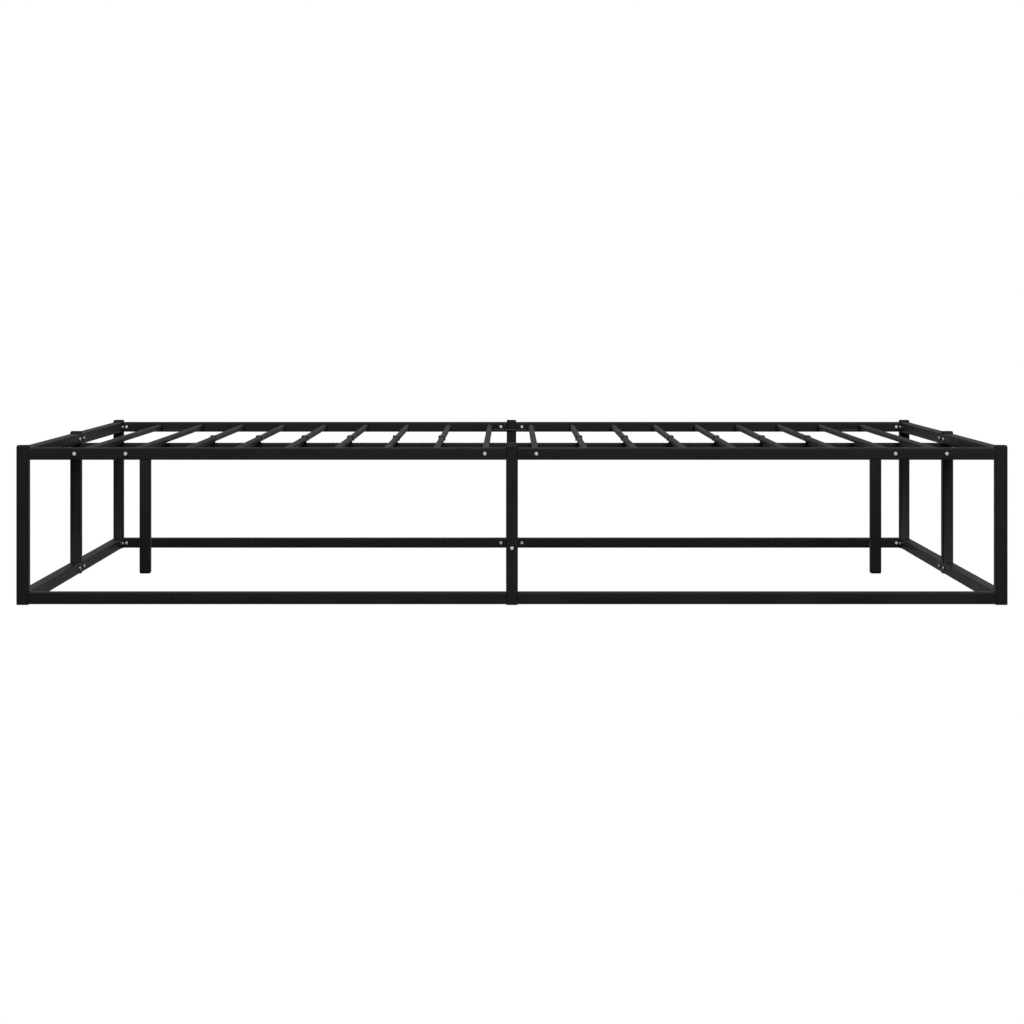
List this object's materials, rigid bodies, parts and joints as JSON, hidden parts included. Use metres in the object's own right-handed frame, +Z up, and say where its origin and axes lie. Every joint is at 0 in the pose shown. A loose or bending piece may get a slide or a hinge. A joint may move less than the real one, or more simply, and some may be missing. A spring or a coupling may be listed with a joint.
{
  "type": "metal bed frame",
  "caption": "Low black steel bed frame: two rectangular rings of square tube joined by upright posts, with round cross slats and a legged centre beam. It carries a mattress.",
  "frame": {"origin": "on the floor under the middle of the frame", "axes": "+X along the length to the right end, +Y across the width to the back, +Z up"},
  "size_m": [2.08, 1.28, 0.335],
  "materials": {
    "black_powder_coated_steel": "satin black powder coat",
    "black_plastic": "matte, moulded"
  },
  "bodies": {
    "root": {"beam_sleeve": "black_powder_coated_steel", "centre_beam_left": "black_powder_coated_steel", "centre_beam_right": "black_powder_coated_steel", "corner_post_back_left": "black_powder_coated_steel", "corner_post_back_right": "black_powder_coated_steel", "corner_post_front_left": "black_powder_coated_steel", "corner_post_front_right": "black_powder_coated_steel", "end_post_left": "black_powder_coated_steel", "end_post_right": "black_powder_coated_steel", "leg_foot_left": "black_plastic", "leg_foot_middle": "black_plastic", "leg_foot_right": "black_plastic", "lower_end_rail_left_back": "black_powder_coated_steel", "lower_end_rail_left_front": "black_powder_coated_steel", "lower_end_rail_right_back": "black_powder_coated_steel", "lower_end_rail_right_front": "black_powder_coated_steel", "lower_side_rail_back_left": "black_powder_coated_steel", "lower_side_rail_back_right": "black_powder_coated_steel", "lower_side_rail_front_left": "black_powder_coated_steel", "lower_side_rail_front_right": "black_powder_coated_steel", "post_cap_back": "black_plastic", "post_cap_back_left": "black_plastic", "post_cap_back_right": "black_plastic", "post_cap_front": "black_plastic", "post_cap_front_left": "black_plastic", "post_cap_front_right": "black_plastic", "post_cap_left": "black_plastic", "post_cap_right": "black_plastic", "post_foot_back_left": "black_plastic", "post_foot_back_right": "black_plastic", "post_foot_front_left": "black_plastic", "post_foot_front_right": "black_plastic", "side_post_back": "black_powder_coated_steel", "side_post_front": "black_powder_coated_steel", "slat_03": "black_powder_coated_steel", "slat_04": "black_powder_coated_steel", "slat_05": "black_powder_coated_steel", "slat_06": "black_powder_coated_steel", "slat_07": "black_powder_coated_steel", "slat_08": "black_powder_coated_steel", "slat_11": "black_powder_coated_steel", "slat_12": "black_powder_coated_steel", "slat_13": "black_powder_coated_steel", "slat_14": "black_powder_coated_steel", "slat_15": "black_powder_coated_steel", "slat_16": "black_powder_coated_steel", "support_leg_left": "black_powder_coated_steel", "support_leg_middle": "black_powder_coated_steel", "support_leg_right": "black_powder_coated_steel", "tie_frame_left": "black_powder_coated_steel", "tie_frame_middle": "black_powder_coated_steel", "tie_frame_right": "black_powder_coated_steel", "upper_end_rail_left_back": "black_powder_coated_steel", "upper_end_rail_left_front": "black_powder_coated_steel", "upper_end_rail_right_back": "black_powder_coated_steel", "upper_end_rail_right_front": "black_powder_coated_steel", "upper_side_rail_back_left": "black_powder_coated_steel", "upper_side_rail_back_right": "black_powder_coated_steel", "upper_side_rail_front_left": "black_powder_coated_steel", "upper_side_rail_front_right": "black_powder_coated_steel"}
  },
  "joints": []
}
